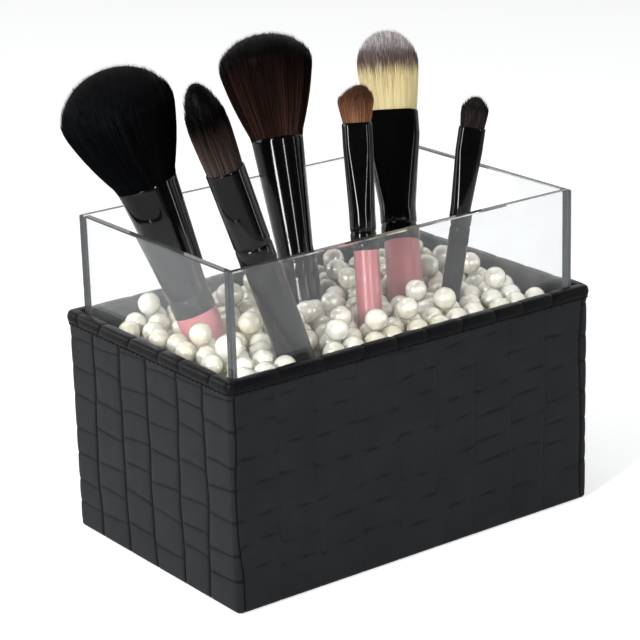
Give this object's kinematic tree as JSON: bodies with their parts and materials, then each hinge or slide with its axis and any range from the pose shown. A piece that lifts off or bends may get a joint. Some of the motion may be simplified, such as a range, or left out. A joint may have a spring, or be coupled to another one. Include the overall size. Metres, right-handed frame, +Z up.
{
  "type": "brush holder",
  "caption": "Rectangular leather-wrapped box with a lift-out clear liner, a bed of ivory beads and cosmetic brushes stood in them.",
  "frame": {"origin": "centre of the underside of the base pad", "axes": "+X along the long side to the right, -Y towards the front, +Z up"},
  "size_m": [0.1805, 0.1252, 0.1878],
  "materials": {
    "skin": "embossed reptile grain, semi-gloss",
    "rim": "glossy turned edge",
    "board": "raw fibreboard",
    "lining": "matte lining",
    "pad": "felt",
    "clear_sheet": "clear polished sheet",
    "bead": "pearlescent ivory",
    "ferrule": "gloss black lacquer",
    "handle_pink": "gloss pink lacquer",
    "handle_black": "gloss black lacquer",
    "hair_black": "soft hair",
    "hair_dark": "soft hair, dark tip",
    "hair_brown": "soft hair, dark tip",
    "hair_tan": "soft hair",
    "hair_cream": "smooth hair, grey tip"
  },
  "bodies": {
    "case": {"outer_wrap": "skin", "rim_binding": "rim", "front_board": "board", "rear_board": "board", "left_board": "board", "right_board": "board", "base_board": "board", "wall_lining": "lining", "floor_lining": "lining", "base_pad": "pad"},
    "liner": {"acrylic_front": "clear_sheet", "acrylic_rear": "clear_sheet", "acrylic_left": "clear_sheet", "acrylic_right": "clear_sheet", "acrylic_floor": "clear_sheet", "bead_bed": "bead", "top_beads": "bead"},
    "powder_brush": {"powder_handle": "handle_pink", "powder_ferrule": "ferrule", "powder_head": "hair_black"},
    "tapered_brush": {"tapered_handle": "handle_black", "tapered_ferrule": "ferrule", "tapered_head": "hair_dark"},
    "blush_brush": {"blush_handle": "handle_black", "blush_ferrule": "ferrule", "blush_head": "hair_brown"},
    "shader_brush": {"shader_handle": "handle_pink", "shader_ferrule": "ferrule", "shader_head": "hair_tan"},
    "foundation_brush": {"foundation_handle": "handle_pink", "foundation_ferrule": "ferrule", "foundation_head": "hair_cream"},
    "eye_brush": {"eye_handle": "handle_black", "eye_ferrule": "ferrule", "eye_head": "hair_dark"}
  },
  "joints": [
    {"name": "liner_lift", "type": "slide", "parent": "case", "child": "liner", "axis": [0, 0, 1], "range_m": [0, 0.09]},
    {"name": "powder_lift", "type": "slide", "parent": "liner", "child": "powder_brush", "axis": [-0.2363, 0.2404, 0.9415], "range_m": [0, 0.125]},
    {"name": "tapered_lift", "type": "slide", "parent": "liner", "child": "tapered_brush", "axis": [-0.2569, 0.1562, 0.9537], "range_m": [0, 0.105]},
    {"name": "blush_lift", "type": "slide", "parent": "liner", "child": "blush_brush", "axis": [0.1096, 0.37, 0.9225], "range_m": [0, 0.12]},
    {"name": "shader_lift", "type": "slide", "parent": "liner", "child": "shader_brush", "axis": [0.1646, 0.2751, 0.9472], "range_m": [0, 0.11]},
    {"name": "foundation_lift", "type": "slide", "parent": "liner", "child": "foundation_brush", "axis": [0.2711, 0.4255, 0.8634], "range_m": [0, 0.125]},
    {"name": "eye_lift", "type": "slide", "parent": "liner", "child": "eye_brush", "axis": [0.2299, 0.0405, 0.9724], "range_m": [0, 0.115]}
  ]
}
